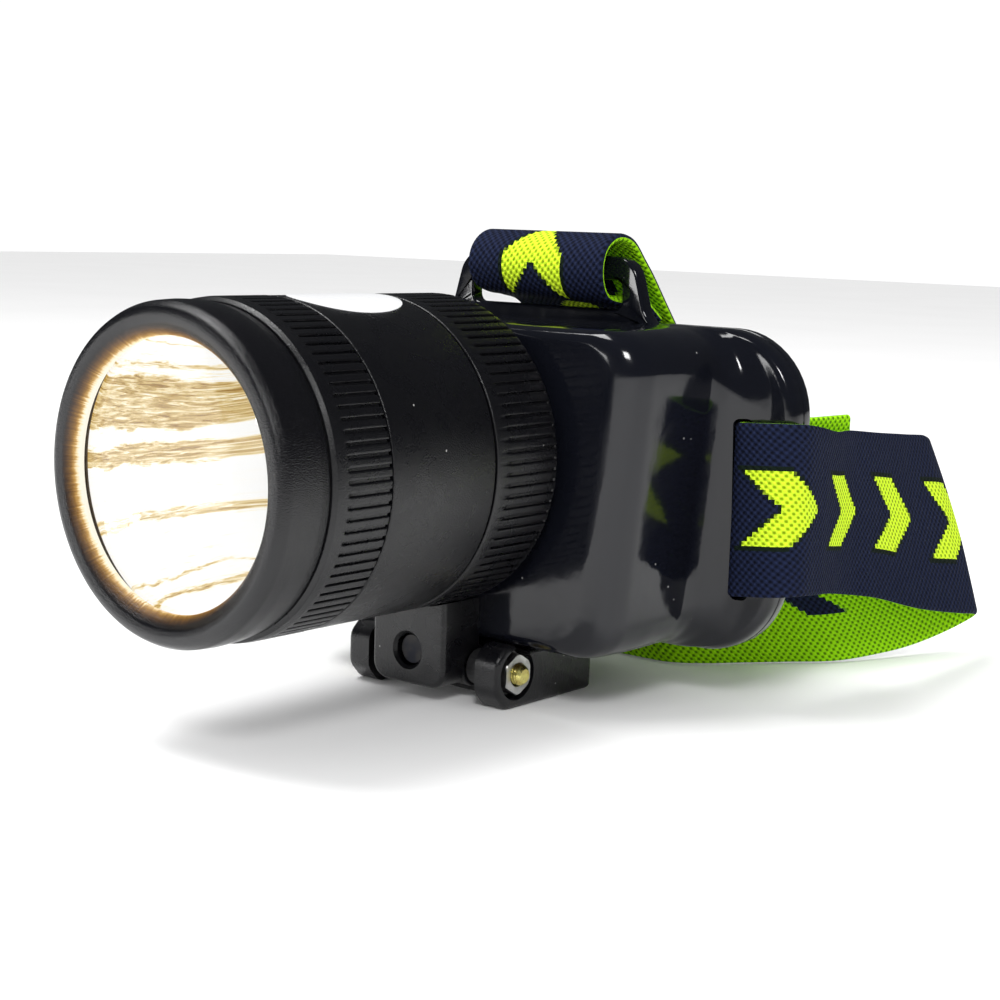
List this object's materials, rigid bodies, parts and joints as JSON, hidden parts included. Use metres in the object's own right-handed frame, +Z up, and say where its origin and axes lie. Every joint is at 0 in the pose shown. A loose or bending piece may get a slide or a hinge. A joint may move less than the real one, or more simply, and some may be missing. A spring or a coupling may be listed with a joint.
{
  "type": "headlamp",
  "caption": "Head torch with a tilting round lamp head, screw-off knurled bezel, glossy battery box, elastic headband and crown strap.",
  "frame": {"origin": "centre of the flat underside of the hinge base, on which the torch stands", "axes": "+Z up, -Y the way the lamp shines, +X the side of the band whose end is sewn"},
  "size_m": [0.1212, 0.1833, 0.0885],
  "materials": {
    "satin_black_plastic": "satin, faint moulded grain",
    "gloss_black_plastic": "glossy with slight orange peel",
    "black_rubber": "matt",
    "reflector_silver": "vacuum metallised mirror",
    "clear_lens": "clear polished",
    "zinc_steel": "bright zinc plate",
    "yellow_zinc_steel": "yellow passivated zinc plate",
    "bare_aluminium": "turned",
    "lit_emitter": "phosphor under a clear dome, lit",
    "cell_wrap": "heat-shrink sleeve",
    "nickel_contact": "nickel strip",
    "circuit_board": "solder mask",
    "forehead_foam": "knit-faced foam",
    "silver_film": "metallised film, blank",
    "red_indicator": "translucent red",
    "nylon_spacer": "plain",
    "elastic_webbing": "two-colour knitted elastic, navy and lime"
  },
  "bodies": {
    "box": {"hinge_base": "satin_black_plastic", "switch_body": "satin_black_plastic", "cell_cradle": "satin_black_plastic", "crown_slider": "satin_black_plastic", "side_slider": "satin_black_plastic", "front_shell": "gloss_black_plastic", "back_cover": "gloss_black_plastic", "box_grommet": "black_rubber", "box_lead": "black_rubber", "cover_seal": "black_rubber", "hinge_washer": "zinc_steel", "hinge_nut": "zinc_steel", "base_screw_left": "zinc_steel", "base_screw_right": "zinc_steel", "cover_screw_1": "zinc_steel", "cover_screw_2": "zinc_steel", "cover_screw_3": "zinc_steel", "cover_screw_4": "zinc_steel", "hinge_bolt": "yellow_zinc_steel", "charge_socket": "bare_aluminium", "cell_lower": "cell_wrap", "cell_upper": "cell_wrap", "contact_positive": "nickel_contact", "contact_negative": "nickel_contact", "charge_board": "circuit_board", "forehead_pad": "forehead_foam", "indicator_light": "red_indicator", "hinge_spacer_left": "nylon_spacer", "hinge_spacer_right": "nylon_spacer", "headband_near_wrap": "elastic_webbing", "headband_near_run": "elastic_webbing", "headband_near_fold": "elastic_webbing", "headband_near_return": "elastic_webbing", "headband_rear": "elastic_webbing", "headband_far_return": "elastic_webbing", "headband_far_fold": "elastic_webbing", "headband_far_run": "elastic_webbing", "headband_far_wrap": "elastic_webbing", "crown_loop": "elastic_webbing", "crown_run": "elastic_webbing", "crown_end": "elastic_webbing"},
    "head": {"reflector": "reflector_silver", "head_tube": "satin_black_plastic", "rear_cap": "satin_black_plastic", "heat_sink": "bare_aluminium", "emitter_board": "bare_aluminium", "light_emitter": "lit_emitter", "tilt_lug": "satin_black_plastic", "lug_screw": "zinc_steel", "rating_label": "silver_film", "head_grommet": "black_rubber", "head_lead": "black_rubber"},
    "lens_set": {"lens": "clear_lens", "lens_gasket": "black_rubber"},
    "bezel": {"front_lip": "satin_black_plastic", "knurled_collar": "satin_black_plastic"},
    "rocker": {"switch_rocker": "satin_black_plastic"},
    "port_flap": {"port_cover": "black_rubber"}
  },
  "joints": [
    {"name": "head_tilt", "type": "hinge", "parent": "box", "child": "head", "pos_m": [0, -0.0093, 0.0065], "axis": [1, 0, 0], "range_deg": [0, 80]},
    {"name": "lens_slide", "type": "slide", "parent": "head", "child": "lens_set", "axis": [0, -1, 0], "range_m": [0, 0.003]},
    {"name": "bezel_turn", "type": "hinge", "parent": "lens_set", "child": "bezel", "pos_m": [0, -0.069, 0.0475], "axis": [0, -1, 0], "range_deg": [0, 540]},
    {"name": "switch_rock", "type": "hinge", "parent": "box", "child": "rocker", "pos_m": [-0.0407, 0.0065, 0.04825], "axis": [0, 1, 0], "range_deg": [-16, 0]},
    {"name": "port_flap_swing", "type": "hinge", "parent": "box", "child": "port_flap", "pos_m": [-0.04245, 0.0065, 0.0229], "axis": [0, -1, 0], "range_deg": [0, 110]}
  ],
  "couplings": [
    {"joint": "bezel_turn", "follows": "lens_slide", "rad_per_m": 3141.6}
  ]
}
